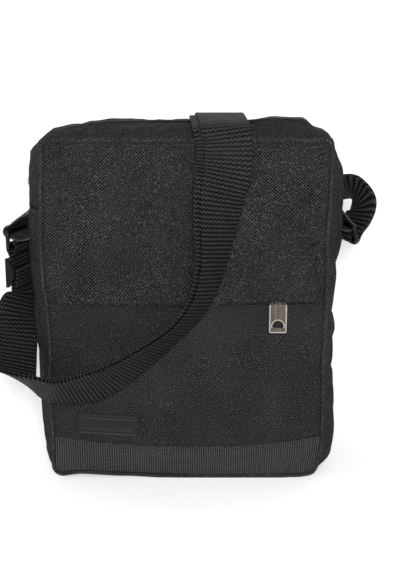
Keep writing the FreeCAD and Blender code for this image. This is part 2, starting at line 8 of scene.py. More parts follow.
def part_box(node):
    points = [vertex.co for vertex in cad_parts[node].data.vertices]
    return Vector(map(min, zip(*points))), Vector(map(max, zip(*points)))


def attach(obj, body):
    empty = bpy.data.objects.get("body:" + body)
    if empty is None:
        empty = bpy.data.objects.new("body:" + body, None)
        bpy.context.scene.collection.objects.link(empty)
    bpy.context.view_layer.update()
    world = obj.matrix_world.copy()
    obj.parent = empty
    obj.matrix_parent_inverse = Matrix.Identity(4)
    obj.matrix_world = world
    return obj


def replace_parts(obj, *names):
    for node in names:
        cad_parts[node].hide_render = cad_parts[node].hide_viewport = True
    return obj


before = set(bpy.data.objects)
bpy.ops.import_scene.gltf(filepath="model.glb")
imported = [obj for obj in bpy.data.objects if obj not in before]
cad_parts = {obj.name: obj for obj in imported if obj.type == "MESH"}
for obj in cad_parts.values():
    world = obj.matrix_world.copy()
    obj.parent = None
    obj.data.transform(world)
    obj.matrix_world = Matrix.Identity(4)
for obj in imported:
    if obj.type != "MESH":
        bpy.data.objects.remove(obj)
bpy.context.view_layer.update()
scene = bpy.context.scene
mm = 0.001

panelLow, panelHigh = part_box("back_panel")
halfWidth = panelHigh[0]
seamLow, seamHigh = panelLow[2], panelHigh[2]
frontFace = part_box("pocket_panel")[0][1]
backFace = panelHigh[1]
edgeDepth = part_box("lower_gusset")[1][1]
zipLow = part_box("zip_gusset_front")[0][2]
print("frame loaded")

view = {"aside": 0.016, "above": 0.022, "distance": 0.874, "elevation": 15.2, "lens": 68.5}

camData = bpy.data.cameras.new("camera")
camera = bpy.data.objects.new("camera", camData)
scene.collection.objects.link(camera)
scene.camera = camera
rise = math.radians(view["elevation"])
lookAt = Vector((view["aside"], frontFace, (seamLow + seamHigh) / 2 + view["above"]))
camera.location = lookAt + view["distance"] * Vector((0, -math.cos(rise), math.sin(rise)))
camera.rotation_euler = (math.pi / 2 - rise, 0, 0)
camData.lens = view["lens"]
camData.clip_start = 0.01
print("camera placed")


def reckon(how):
    return lambda self, other: self.math(how, other)


# a socket that can be reckoned with like a number
class Sock:
    def __init__(self, shade, socket):
        self.shade, self.socket = shade, socket

    def math(self, how, *others):
        return self.shade.add("Math", [self, *others], operation=how)

    def __rsub__(self, other):
        return self.shade.add("Math", [other, self], operation="SUBTRACT")

    __add__ = __radd__ = reckon("ADD")
    __mul__ = __rmul__ = reckon("MULTIPLY")
    __sub__ = reckon("SUBTRACT")
    __pow__ = reckon("POWER")


class Shade:
    def __init__(self, name):
        self.mat = bpy.data.materials.new(name)
        self.mat.use_nodes = True
        self.nodes, self.links = self.mat.node_tree.nodes, self.mat.node_tree.links
        self.nodes.clear()
        self.here = self.add("TexCoord", out="Object")

    def add(self, kind, sockets=(), out=0, **settings):
        node = self.nodes.new("ShaderNode" + kind)
        for key, value in settings.items():
            setattr(node, key, value)
        pairs = sockets.items() if isinstance(sockets, dict) else enumerate(sockets)
        for key, value in pairs:
            if isinstance(value, Sock):
                self.links.new(value.socket, node.inputs[key])
            else:
                node.inputs[key].default_value = value
        if isinstance(out, (list, tuple)):
            return [Sock(self, node.outputs[name]) for name in out]
        return Sock(self, node.outputs[out])

    def onCloth(self):
        return self.add("SeparateXYZ", [self.add("TexCoord", out="UV")], out=["X", "Y"])

    def times(self, first, second):
        return self.add("VectorMath", [first, second], operation="MULTIPLY")

    def noise(self, scale, detail=2.0, squeeze=1):
        # a small squeeze draws the pattern out upwards
        where = self.here if squeeze == 1 else self.times(self.here, (1, 1, squeeze))
        return self.add("TexNoise", {"Vector": where, "Scale": scale, "Detail": detail})

    def clamped(self, value, first, last):
        return self.add("MapRange", {"Value": value, "From Min": first, "From Max": last}, clamp=True)

    def tint(self, colour, amount):
        return self.times(self.add("CombineXYZ", [amount, amount, amount]), colour)

    def blend(self, mask, first, second):
        return self.add("Mix", {"Factor": mask, 6: rgb(*first), 7: rgb(*second)}, 2, data_type="RGBA")

    def bump(self, height, distance):
        return self.add("Bump", {"Height": height, "Distance": distance, "Strength": 1.0})

    def finish(self, **sockets):
        named = {key.replace("_", " "): value for key, value in sockets.items()}
        shader = self.add("BsdfPrincipled", named)
        self.add("OutputMaterial", [shader], out=[])
        return self.mat


def rgb(*levels):
    return (*levels, 1.0)


polyester = {
    "thread": 1.3 * mm, "colour": (0.0310, 0.0313, 0.0312), "warm": (0.0325, 0.0319, 0.0305),
    "rough": 0.9, "shine": 0.06, "relief": 0.00045, "darkest": 0.03,
    # what each pattern adds to the brightness of the base colour; the glints are painted highlights
    "even": 0.52, "weave": 0.60, "fleck": 1.9, "glints": 9.0, "glintsOver": 0.60, "clouds": 0.5,
}


def makePolyester(name, lift=1.0):
    s = Shade(name)
    u, v = s.onCloth()
    turn = math.pi / polyester["thread"]
    weave = (u * turn).math("SINE") * (v * turn).math("SINE")
    fleck = s.noise(1000, 1.0)
    cloudy = s.noise(26, 3.0)
    broad = s.noise(7)
    # bright specks above glintsOver: painted highlights in the base colour
    glints = (fleck - polyester["glintsOver"]).math("MAXIMUM", 0.0)
    level = lift * (polyester["even"] + polyester["weave"] * weave + polyester["fleck"] * (fleck - 0.5)
                    + polyester["glints"] * glints + polyester["clouds"] * (cloudy - 0.5))
    colour = s.blend(broad, polyester["colour"], polyester["warm"])
    return s.finish(Base_Color=s.tint(colour, level.math("MAXIMUM", polyester["darkest"])),
                    Roughness=polyester["rough"] + 0.12 * (cloudy - 0.5),
                    Specular_IOR_Level=polyester["shine"],
                    Normal=s.bump(weave + 0.9 * fleck, polyester["relief"]))


webbing = {
    # pitch of the ribs and the beads in mm
    "strap": {"rib": 3.3, "bead": 1.9, "colour": (0.026, 0.0264, 0.0263), "relief": 0.0013, "sharp": 4.5},
    "hem": {"rib": 1.9, "bead": 1.3, "colour": (0.056, 0.0565, 0.056), "relief": 0.0010, "sharp": 3.0},
    "tab": {"rib": 1.9, "bead": 1.5, "colour": (0.030, 0.0304, 0.0298), "relief": 0.0006, "sharp": 1.2},
    "rough": 0.55, "shine": 0.07, "stagger": 0.35, "groove": 0.25, "bright": 4.4, "darkest": 0.02,
}


def makeWebbing(kind):
    shape = webbing[kind]
    s = Shade(kind + " webbing")
    u, v = s.onCloth()
    across = u * (math.pi / (shape["bead"] * mm))
    beads = across.math("SINE").math("ABSOLUTE")
    shift = webbing["stagger"] * across.math("COSINE").math("SIGN")
    ribs = (v * (math.pi / (shape["rib"] * mm)) + shift).math("SINE").math("ABSOLUTE") ** shape["sharp"]
    fleck = s.noise(1100, 1.0)
    cloudy = s.noise(40, 3.0)
    height = ribs * (webbing["groove"] + (1 - webbing["groove"]) * beads) + 0.12 * fleck
    # colour follows the ribs' height: painted highlight on the crests and beads, painted shade in the
    # grooves, over a dark tone that varies at random
    level = webbing["bright"] * height * fleck - 0.06 + 0.2 * (cloudy - 0.5)
    return s.finish(Base_Color=s.tint(shape["colour"], level.math("MAXIMUM", webbing["darkest"])),
                    Roughness=webbing["rough"] + 0.2 * (cloudy - 0.5), Specular_IOR_Level=webbing["shine"],
                    Normal=s.bump(height, shape["relief"]))


zipTape = {"line": 0.8 * mm, "colour": (0.024, 0.024, 0.0245), "rough": 0.8, "shine": 0.1, "relief": 0.00015}


def makeTape(name):
    s = Shade(name)
    u, v = s.onCloth()
    lines = ((u + v) * (math.pi / zipTape["line"])).math("SINE").math("ABSOLUTE")
    height = lines + 0.3 * s.noise(1200, 1.0)
    return s.finish(Base_Color=s.tint(zipTape["colour"], 0.3 + 0.9 * height), Roughness=zipTape["rough"],
                    Specular_IOR_Level=zipTape["shine"], Normal=s.bump(height, zipTape["relief"]))


def makePlastic(name, colour, rough, grain=0.00004, shine=0.3):
    s = Shade(name)
    fine = s.noise(700)
    cloudy = s.noise(60, 3.0)
    return s.finish(Base_Color=s.tint(colour, 0.8 + 0.4 * cloudy), Specular_IOR_Level=shine,
                    Roughness=rough + 0.2 * (cloudy - 0.5), Normal=s.bump(fine, grain))


def makeMetal(name, colour, paintedEdgeHighlight, rough, paintedEdgeHighlightAt):
    s = Shade(name)
    scratches = s.noise(900, squeeze=0.08)
    cloudy = s.noise(120, 3.0)
    edge = s.add("NewGeometry", out="Pointiness")
    # sharp edges blend to the lighter colour: a painted highlight along the edges
    paintedEdgeHighlightMask = s.clamped(edge + 0.05 * (cloudy - 0.5), *paintedEdgeHighlightAt) * (0.4 + 0.9 * cloudy)
    return s.finish(Base_Color=s.blend(paintedEdgeHighlightMask, colour, paintedEdgeHighlight), Metallic=0.92,
                    Roughness=rough + 0.25 * (scratches - 0.5), Normal=s.bump(scratches, 0.00002))


def makeFoam(name, colour):
    s = Shade(name)
    pores = s.add("TexVoronoi", {"Vector": s.here, "Scale": 700}, out="Distance")
    cloudy = s.noise(30, 3.0)
    return s.finish(Base_Color=s.tint(colour, 0.7 + 0.3 * pores + 0.3 * cloudy), Roughness=0.9,
                    Sheen_Weight=0.3, Normal=s.bump(pores, 0.0002))


shell = makePolyester("shell fabric")
backCloth = makePolyester("back fabric", 0.95)
# the piping is the shell polyester made lighter: a painted highlight along the seam ridges
pipingHighlightCloth = makePolyester("piping fabric with painted highlight", 1.35)
strapWeb = makeWebbing("strap")
hemWeb = makeWebbing("hem")
tabWeb = makeWebbing("tab")
zipCloth = makeTape("zip tape")
thread = makePlastic("sewing thread", (0.012, 0.012, 0.0115), 0.6)
coilPlastic = makePlastic("zip coil", (0.012, 0.012, 0.0125), 0.38)
patchRubber = makePlastic("patch rubber", (0.0070, 0.0072, 0.0070), 0.6, 0.00012, 0.2)
glidePlastic = makePlastic("adjuster plastic", (0.006, 0.006, 0.0062), 0.5, shine=0.1)
# the second colour of each metal is its painted edge highlight
enamel = makeMetal("black enamel", (0.014, 0.014, 0.015), (0.20, 0.195, 0.185), 0.32, (0.53, 0.62))
nickel = makeMetal("slider nickel", (0.30, 0.285, 0.26), (0.62, 0.60, 0.56), 0.3, (0.5, 0.58))

pullShape = {
    # the rim colour is the colour of the painted highlight
    "plate": (0.074, 0.064, 0.054), "rim": (0.38, 0.36, 0.33), "rough": 0.34, "soft": 0.0002,
    # head of the window: centre above the pull's end, radius and edges of the painted highlight line,
    # straight part
    "window": 5.8 * mm, "line": 5.0 * mm, "lineOut": 0.0005, "lineIn": 0.0003, "sill": 1.6 * mm,
}


def makePull(name, node, rim, bare=None):
    # satin plate with a painted highlight on its rim, worked out from the pull's own box; a bare axis has no
    # upper rim
    low, high = (Vector(c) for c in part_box(node))
    size, middle = high - low, (low + high) / 2
    flat = sorted(range(3), key=lambda k: size[k])[1:]
    s = Shade(name)
    xyz = s.add("SeparateXYZ", [s.here], out=["X", "Y", "Z"])
    off = [(middle[k] - xyz[k] if k == bare else (xyz[k] - middle[k]).math("ABSOLUTE")) - (size[k] / 2 - rim)
           for k in flat]
    edge = s.clamped(off[0].math("MAXIMUM", off[1]), -pullShape["soft"], pullShape["soft"])
    if bare is not None:
        # painted highlight line round the head of the window
        side = flat[0] if flat[1] == bare else flat[1]
        across, up = xyz[side] - middle[side], xyz[bare] - (low[bare] + pullShape["window"])
        away = ((across * across + up * up) ** 0.5 - pullShape["line"]).math("ABSOLUTE")
        line = s.clamped(away, pullShape["lineOut"], pullShape["lineIn"])
        edge = edge.math("MAXIMUM", line * up.math("GREATER_THAN", -pullShape["sill"]))
    brushed = s.noise(1500, squeeze=0.06)
    streaks = s.noise(520, squeeze=0.06)
    cloudy = s.noise(160, 3.0)
    # painted highlight on the rim and the window line, with lighter streaks of the brushing
    mask = (edge * (0.55 + 0.6 * cloudy)).math("MAXIMUM", 0.42 * (streaks - 0.42))
    return s.finish(Base_Color=s.blend(mask, pullShape["plate"], pullShape["rim"]), Metallic=0.9,
                    Roughness=pullShape["rough"] + 0.25 * (brushed - 0.5), Normal=s.bump(brushed, 0.00002))


liningCloth = makePolyester("lining fabric", 3.0)
foamGrey = makeFoam("grey foam", (0.11, 0.11, 0.115))
boardPlastic = makePlastic("board plastic", (0.03, 0.03, 0.03), 0.5)
print("materials made")


def smoothAlong(pairs, t):
    if t <= pairs[0][0]:
        return pairs[0][1]
    for (a, first), (b, second) in zip(pairs, pairs[1:]):
        if t <= b:
            k = (t - a) / (b - a)
            return first + (second - first) * k * k * (3 - 2 * k)
    return pairs[-1][1]


def inMetres(*pairs):
    return [(a * mm, b * mm) for a, b in pairs]


def clip(value):
    return min(1.0, max(0.0, value))


def lengthsAlong(path):
    gone = [0.0]
    for a, b in zip(path, path[1:]):
        gone.append(gone[-1] + (b - a).length)
    return gone


def addMesh(name, mesh, material):
    for polygon in mesh.polygons:
        polygon.use_smooth = True
    mesh.materials.append(material)
    piece = bpy.data.objects.new(name, mesh)
    scene.collection.objects.link(piece)
    return piece


def makePiece(name, points, faces, material, uvs=None, body="root", solid=False):
    mesh = bpy.data.meshes.new(name)
    mesh.from_pydata([tuple(p) for p in points], [], faces)
    if solid:
        turned = bmesh.new()
        turned.from_mesh(mesh)
        bmesh.ops.recalc_face_normals(turned, faces=turned.faces)
        turned.to_mesh(mesh)
        turned.free()
    if uvs:
        layer = mesh.uv_layers.new(name="UVMap")
        for loop in mesh.loops:
            layer.data[loop.index].uv = uvs[loop.vertex_index]
    piece = addMesh(name, mesh, material)
    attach(piece, body)
    return piece


def gridFaces(columns, rows, flip=False):
    faces = []
    for i in range(columns - 1):
        for j in range(rows - 1):
            a, b = i * rows + j, (i + 1) * rows + j
            faces.append((a, b, b + 1, a + 1))
    return [f[::-1] for f in faces] if flip else faces


def ringFaces(count, sides, base=0):
    # rings of points, each joined to the next
    faces = []
    for i in range(count - 1):
        for k in range(sides):
            a, b = base + i * sides + k, base + i * sides + (k + 1) % sides
            faces.append((a, b, b + sides, a + sides))
    return faces


def thicken(piece, thickness, offset=-1.0, bevel=0.0):
    solid = piece.modifiers.new("thickness", "SOLIDIFY")
    solid.thickness = thickness
    solid.offset = offset
    if bevel:
        round_ = piece.modifiers.new("round", "BEVEL")
        round_.width = bevel
        round_.segments = 2
        round_.limit_method = "ANGLE"


def ringTube(name, path, radius, material, sides=10):
    # round tube along a closed path
    points, uvs = [], []
    count, gone = len(path), lengthsAlong(path)
    side = Vector((0, 1, 0))
    for i, here in enumerate(path):
        along = (path[(i + 1) % count] - path[i - 1]).normalized()
        side = (side - along * side.dot(along)).normalized()
        other = along.cross(side)
        for k in range(sides):
            angle = 2 * math.pi * k / sides
            points.append(here + radius * (math.cos(angle) * side + math.sin(angle) * other))
            uvs.append((radius * angle, gone[i]))
    faces = []
    for i in range(count):
        for k in range(sides):
            a, b = i * sides, ((i + 1) % count) * sides
            faces.append((a + k, b + k, b + (k + 1) % sides, a + (k + 1) % sides))
    return makePiece(name, points, faces, material, uvs, solid=True)


stitch = {"length": 2.4 * mm, "gap": 0.7 * mm, "radius": 0.22 * mm, "sides": 6,
          # (share of the length, height in mm)
          "profile": ((0.0, -0.05), (0.25, 0.22), (0.75, 0.22), (1.0, -0.05))}


def stitches(name, path, outward):
    # short threads laid along a path of points
    stations = lengthsAlong(path)

    def at(d):
        for i in range(len(path) - 1):
            if d <= stations[i + 1]:
                k = (d - stations[i]) / max(stations[i + 1] - stations[i], 1e-9)
                return path[i].lerp(path[i + 1], k)
        return path[-1]

    points, faces = [], []
    sides, radius, reached = stitch["sides"], stitch["radius"], stitch["gap"]
    while reached + stitch["length"] < stations[-1]:
        first, last = at(reached), at(reached + stitch["length"])
        along = (last - first).normalized()
        side = along.cross(outward).normalized()
        base = len(points)
        for k, height in stitch["profile"]:
            middle = first.lerp(last, k) + outward * (height * mm)
            for turn in range(sides):
                angle = 2 * math.pi * turn / sides
                points.append(middle + radius * (math.cos(angle) * side + math.sin(angle) * outward))
        faces += ringFaces(len(stitch["profile"]), sides, base)
        reached += stitch["length"] + stitch["gap"]
    return makePiece(name, points, faces, thread, solid=True)


def ripple(where, size, seed=0.0):
    return noise.noise(Vector(where) / size + Vector((seed, 2 * seed, 3 * seed)))


clothShape = {"quality": 6, "mass": 0.3, "tension_stiffness": 25, "bending_stiffness": 0.6}
settleFrames = 16


def settle(piece, held, slack, cap):
    # cloth, fixed where held says so, a little larger than its frame; no point moves further than cap
    start = [v.co.copy() for v in piece.data.vertices]
    group = piece.vertex_groups.new(name="held")
    for v in piece.data.vertices:
        grip = held(v.co)
        if grip > 0:
            group.add([v.index], grip, "REPLACE")
    cloth = piece.modifiers.new("cloth", "CLOTH")
    cloth.settings.vertex_group_mass = "held"
    cloth.settings.shrink_min = -slack
    for key, value in clothShape.items():
        setattr(cloth.settings, key, value)
    cloth.settings.effector_weights.gravity = 0.0
    cloth.collision_settings.use_collision = False
    cloth.point_cache.frame_start = 1
    cloth.point_cache.frame_end = settleFrames
    for f in range(1, settleFrames + 1):
        scene.frame_set(f)
    seen = piece.evaluated_get(bpy.context.evaluated_depsgraph_get())
    moved = [v.co.copy() for v in seen.data.vertices]
    piece.modifiers.remove(cloth)
    piece.vertex_groups.remove(group)
    for v, before, after in zip(piece.data.vertices, start, moved):
        step = after - before
        if step.length > cap:
            step *= cap / step.length
        v.co = before + step
    scene.frame_set(1)


bodyShape = {
    "topCorner": 5 * mm, "bottomCorner": 8 * mm, "step": 3.2 * mm, "rows": 29,
    # tables in mm: (height, how far the front seam stands out at that height)
    "leftSway": inMetres((3, 0), (45, -0.6), (72, 0.8), (115, -1.1), (150, 0.4), (173, 2.6), (199, 3.3),
                         (236, 1.8), (272, 0.2)),
    "rightSway": inMetres((3, -4), (7, -4.8), (14.5, -3.5), (22, -1.7), (34, -0.8), (70, -0.9),
                          (104, -1.6), (123, -0.5), (186, -0.2), (205, -1), (231, 0.4), (275, 1.2)),
    # (place from left to right, rise of the bottom seam)
    "bottomWave": inMetres((-108, 0.8), (-90, 3), (-52, 1.2), (-19, -0.4), (12, -1), (60, -1.2), (94, 0),
                           (108, 1.8)),
    # swell of the gusset past the seam at mid depth
    # the left side keeps its swell up to the top of the slider's travel
    "leftBulge": inMetres((4, 7), (15, 9.8), (30, 10.8), (50, 11.4), (150, 12.5), (205, 13.6), (230, 14),
                          (270, 14), (280, 4.5)),
    "rightBulge": inMetres((3, 12.5), (12, 11), (30, 12), (50, 11.5), (95, 9), (120, 10.4), (140, 8.6),
                           (175, 9.6), (200, 14), (240, 14.5), (252, 14), (278, 5.5)),
    "topBulge": inMetres((-108, 4.8), (-90, 8.6), (-75, 11), (-60, 12.6), (0, 12.8), (45, 12.6),
                         (70, 14.6), (93, 13.8), (105, 5)),
    "bottomBulge": 0.0035, "cornerEase": 0.15,
    # extra fullness of the strip in front of the zip
    "leftLobe": inMetres((100, 0), (118, 2.8), (160, 3.2), (185, 2.6), (212, 4.2), (232, 2.4), (255, 2.2),
                         (272, 0)),
    "lobeStart": 0.12, "lobeReach": 0.83,
    # small folds beside the seams and long waves between them, as (size, height)
    "pucker": (0.011, 0.0011), "wave": (0.038, 0.0016), "topCalm": 0.35,
    # the chain keeps straight along the slider's travel
    "leftCalm": [(0.205, 1.0), (0.224, 0.0), (0.272, 0.0), (0.278, 0.35)],
    "waveReach": 0.055, "backShare": 0.5, "restHeight": 0.5 * mm, "clothStretch": 1.15,
}


def halfAt(z):
    cut = 0.0
    for off, radius in ((z - seamLow, bodyShape["bottomCorner"]), (seamHigh - z, bodyShape["topCorner"])):
        if off < radius:
            cut = radius - math.sqrt(max(0.0, radius ** 2 - (radius - max(off, 0.0)) ** 2))
    return halfWidth - cut


def seamShift(x, z, share):
    t = x / halfWidth
    sway = smoothAlong(bodyShape["rightSway" if t > 0 else "leftSway"], z)
    dx = sway * t ** 3
    near = max(0.0, 1 - (z - seamLow) / bodyShape["waveReach"])
    dz = smoothAlong(bodyShape["bottomWave"], x) * near * near
    return dx * share, dz * share


def bodyLoop():
    # points round the seam with their outward directions, from the middle of the bottom, rightwards
    loop = []
    rb, rt, step = bodyShape["bottomCorner"], bodyShape["topCorner"], bodyShape["step"]

    def straight(x0, z0, x1, z1, nx, nz):
        count = max(2, round(math.hypot(x1 - x0, z1 - z0) / step))
        for i in range(count):
            k = i / count
            loop.append((x0 + (x1 - x0) * k, z0 + (z1 - z0) * k, nx, nz))

    def corner(cx, cz, radius, first, count):
        for i in range(count):
            angle = math.radians(first + 90 * i / count)
            loop.append((cx + radius * math.cos(angle), cz + radius * math.sin(angle),
                         math.cos(angle), math.sin(angle)))

    w = halfWidth
    straight(0, seamLow, w - rb, seamLow, 0, -1)
    corner(w - rb, seamLow + rb, rb, -90, 12)
    straight(w, seamLow + rb, w, zipLow, 1, 0)
    straight(w, zipLow, w, seamHigh - rt, 1, 0)
    corner(w - rt, seamHigh - rt, rt, 0, 10)
    straight(w - rt, seamHigh, -w + rt, seamHigh, 0, 1)
    corner(-w + rt, seamHigh - rt, rt, 90, 10)
    straight(-w, seamHigh - rt, -w, zipLow, -1, 0)
    straight(-w, zipLow, -w, seamLow + rb, -1, 0)
    corner(-w + rb, seamLow + rb, rb, 180, 12)
    straight(-w + rb, seamLow, 0, seamLow, 0, -1)
    return loop


def shellPoint(station, depth, inset=0.0, plain=False):
    # depth runs from -1 at the front seam to 1 at the back seam
    x, z, nx, nz = station
    side = smoothAlong(bodyShape["rightBulge" if nx > 0 else "leftBulge"], z)
    over = smoothAlong(bodyShape["topBulge"], x) if nz > 0 else bodyShape["bottomBulge"]
    swell = max(0.0, 1 - depth * depth)
    full = 1 - min(1.0, abs(depth)) ** 8 if nz < 0 else swell
    ease = 1 - bodyShape["cornerEase"] * (2 * nx * nz) ** 2
    out = (side * nx * nx * swell + over * nz * nz * full) * ease - inset
    if nx < 0 and depth < 0:
        lobe = math.sin(math.pi * clip((-depth - bodyShape["lobeStart"]) / bodyShape["lobeReach"]))
        out += smoothAlong(bodyShape["leftLobe"], z) * lobe * nx * nx
    share = -depth if depth < 0 else bodyShape["backShare"] * depth
    dx, dz = seamShift(x, z, share)
    y = depth * edgeDepth
    p = Vector((x + dx + nx * out, y, z + dz + nz * out))
    if not plain:
        puckerSize, puckerHeight = bodyShape["pucker"]
        waveSize, waveHeight = bodyShape["wave"]
        pucker = ripple((p.x, 0, p.z), puckerSize, 4.0) * puckerHeight
        pucker *= max(0.0, 1 - swell * 1.8) * min(1, swell * 12)
        wave = ripple((p.x, p.y * 0.6, p.z), waveSize, 1.0) * waveHeight * min(1.0, swell * 3)
        calm = bodyShape["topCalm"] if nz > 0.5 else 1.0
        if nx < -0.5:
            calm = smoothAlong(bodyShape["leftCalm"], p.z)
        p += Vector((nx, 0, nz)) * (pucker + wave * calm)
    p.z = max(p.z, bodyShape["restHeight"] + inset)
    return p


loop = bodyLoop()
loopLength = [0.0]
for a, b in zip(loop, loop[1:] + loop[:1]):
    loopLength.append(loopLength[-1] + math.hypot(b[0] - a[0], b[1] - a[1]))
isZip = [s[1] >= zipLow - 1e-6 for s in loop]
zipStart = isZip.index(True)
zipStop = len(loop) - 1 - isZip[::-1].index(True)
aroundZip = list(range(zipStart, zipStop + 1))
aroundLow = list(range(zipStop, len(loop))) + list(range(0, zipStart + 1))


def strip(name, around, depths, lip=0.0, inset=0.0, material=shell):
    # piece of the shell between two depths; lip sinks the edge beside the zip
    points, uvs = [], []
    inner = min(abs(d) for d in depths)
    for i in around:
        for depth in depths:
            points.append(shellPoint(loop[i], depth, inset + (lip if abs(depth) == inner else 0.0)))
            gone = loopLength[i] if i >= around[0] else loopLength[i] + loopLength[-1]
            uvs.append((gone, depth * edgeDepth * bodyShape["clothStretch"]))
    return makePiece(name, points, gridFaces(len(around), len(depths), True), material, uvs)


def spread(first, last, count):
    return [first + (last - first) * i / (count - 1) for i in range(count)]


zipShape = {"reveal": 8.0 * mm, "tapeOut": 14.0 * mm, "tapeIn": 2.6 * mm, "tapeInset": 1.6 * mm,
            "tooth": 1.25 * mm, "toothInset": 1.3 * mm, "fabric": 0.8 * mm, "tape": 0.6 * mm, "lip": 0.5 * mm,
            "coilStart": 2.2 * mm, "coilShort": 5 * mm, "rows": 12,
            # flat widths of the gusset pieces, and how they settle
            "gussetWidth": 0.077, "stripWidth": 0.032, "slack": 0.02, "most": 2.0 * mm}

reveal = zipShape["reveal"] / edgeDepth
hemmed = 1.018    # the gusset runs on into the seam, under the piping
lowerGusset = strip("sideGusset", aroundLow, spread(-hemmed, hemmed, bodyShape["rows"]))
frontStrip = strip("zipStripFront", aroundZip, spread(-hemmed, -reveal, zipShape["rows"]), zipShape["lip"])
backStrip = strip("zipStripBack", aroundZip, spread(reveal, hemmed, zipShape["rows"]), zipShape["lip"])


def sewnGusset(co):
    atSeam = abs(co.y) > edgeDepth * 0.93 or co.z < 4 * mm
    atZip = co.z > zipLow - 4 * mm and abs(co.y) < zipShape["reveal"] + 2 * mm
    return 1.0 if atSeam or atZip else 0.0


for piece, node in ((lowerGusset, "lower_gusset"), (frontStrip, "zip_gusset_front"),
                    (backStrip, "zip_gusset_back")):
    settle(piece, sewnGusset, zipShape["slack"], zipShape["most"])
    thicken(piece, zipShape["fabric"])
    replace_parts(piece, node)
print("gusset made")

tapes = []
for side in (-1, 1):
    edges = sorted((side * zipShape["tapeIn"] / edgeDepth, side * zipShape["tapeOut"] / edgeDepth))
    tapes.append(strip("mainTape.front" if side < 0 else "mainTape.back", aroundZip, spread(*edges, 7),
                       0.0, zipShape["tapeInset"], zipCloth))
    thicken(tapes[-1], zipShape["tape"])
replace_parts(tapes[0], "main_zip_tapes")


def coilTeeth(name, stationAt, total, pitch):
    # two rows of rounded teeth that mesh in the middle
    points, faces = [], []
    # (place across the tooth from its middle, height, half length over the pitch)
    profile = ((-0.5, 0.0, 0.42), (-0.3, 0.9, 0.36), (0.3, 0.9, 0.36), (0.5, 0.0, 0.42))
    rowOut, toothWidth = 1.55, 2.0
    for n in range(int(total / pitch)):
        for side in (-1, 1):
            along = (n + (0.5 if side > 0 else 0.0)) * pitch
            middle, ahead, outward, across = stationAt(along)
            base = len(points)
            for shift, lift, half in profile:
                for end in (-1, 1):
                    points.append(middle + across * side * (rowOut + toothWidth * shift) * mm
                                  + outward * lift * mm + ahead * end * half * pitch)
            for k in range(3):
                a = base + 2 * k
                faces.append((a, a + 1, a + 3, a + 2))
            faces.append((base, base + 2, base + 4, base + 6))
            faces.append((base + 1, base + 7, base + 5, base + 3))
    return makePiece(name, points, faces, coilPlastic, solid=True)


zipPath = [shellPoint(loop[i], 0.0, zipShape["toothInset"], True) for i in aroundZip]
zipOut = [Vector((loop[i][2], 0, loop[i][3])) for i in aroundZip]
zipGone = lengthsAlong(zipPath)


def zipStation(d):
    d += zipShape["coilStart"]
    i = max(j for j in range(len(zipGone) - 1) if zipGone[j] <= d or j == 0)
    k = min(1.0, (d - zipGone[i]) / (zipGone[i + 1] - zipGone[i]))
    outward = zipOut[i].lerp(zipOut[i + 1], k).normalized()
    ahead = (zipPath[i + 1] - zipPath[i]).normalized()
    return zipPath[i].lerp(zipPath[i + 1], k), ahead, outward, Vector((0, 1, 0))


mainCoil = coilTeeth("mainCoil", zipStation, zipGone[-1] - zipShape["coilShort"], zipShape["tooth"])
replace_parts(mainCoil, "main_zip_coils")
print("main zip made")


panels = {"step": 3.4 * mm, "flapEdge": 153.0 * mm, "flapOut": 3.65 * mm, "flapStart": 176.0 * mm,
          "flapReach": 97 * mm, "zipHalf": 97 * mm, "beside": 2.8 * mm,
          # (place from left to right, sag of the fold's edge)
          "sag": inMetres((-111, 0), (-94, 1.8), (-55, 2.8), (12, 2.8), (40, 1.4), (56, 0), (111, 0)),
          "inside": 0.012, "seamAllow": 1.5 * mm, "thin": 0.5 * mm, "thick": 0.8 * mm, "fold": 7 * mm,
          "slack": 0.012, "most": 2.2 * mm, "held": 5 * mm}
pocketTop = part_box("pocket_panel")[1][2]


def flapTaper(x):
    reach = halfWidth - panels["seamAllow"]
    return clip((reach - abs(x)) / (reach - panels["flapReach"]))


def panelSheet(name, rows, face, ripples=1.0):
    # rows are (height, distance in front of the face, how much the edge sags)
    columns = 2 * round(halfWidth / panels["step"]) + 1
    points, uvs = [], []
    back = face > 0
    outward, share = (1, bodyShape["backShare"]) if back else (-1, 1.0)
    for i in range(columns):
        u = 2 * i / (columns - 1) - 1
        u = math.sin(u * math.pi / 2) * 0.25 + u * 0.75
        for z, out, sags in rows:
            x = u * halfAt(z)
            dx, dz = seamShift(x, z, share)
            off = min(halfAt(z) - abs(x), z - seamLow, seamHigh - z)
            inside = clip(off / panels["inside"])
            ruffle = ripple((x, face, z), 0.045, 7.0) * 1.1 * mm
            ruffle += ripple((x, face, z), 0.017, 3.0) * 0.35 * mm
            y = face + outward * (out * flapTaper(x) + ruffle * inside * ripples)
            points.append((x + dx, y, z + dz - smoothAlong(panels["sag"], x) * sags))
            uvs.append((x, z - 3 * out * (1 if z < pocketTop + 0.002 else 0)))
    return makePiece(name, points, gridFaces(columns, len(rows), back), backCloth if back else shell,
                     uvs)


def cornerHeights(low, high):
    # rows close together where the corners are round
    heights, z = [], low
    while z < high - 1e-6:
        heights.append(z)
        off = min(z - seamLow, seamHigh - z)
        z += max(0.35 * mm, min(panels["step"], 0.35 * mm + off * 0.45))
    return heights + [high]


def flapOutAt(z):
    k = clip((panels["flapStart"] - z) / (panels["flapStart"] - panels["flapEdge"] - 3 * mm))
    return panels["flapOut"] * k * k * (3 - 2 * k)


edge = panels["flapEdge"]
flapRows = [(z, flapOutAt(z), max(0.0, 1 - (z - edge) / (28 * mm)) ** 2)
            for z in cornerHeights(edge, seamHigh)]
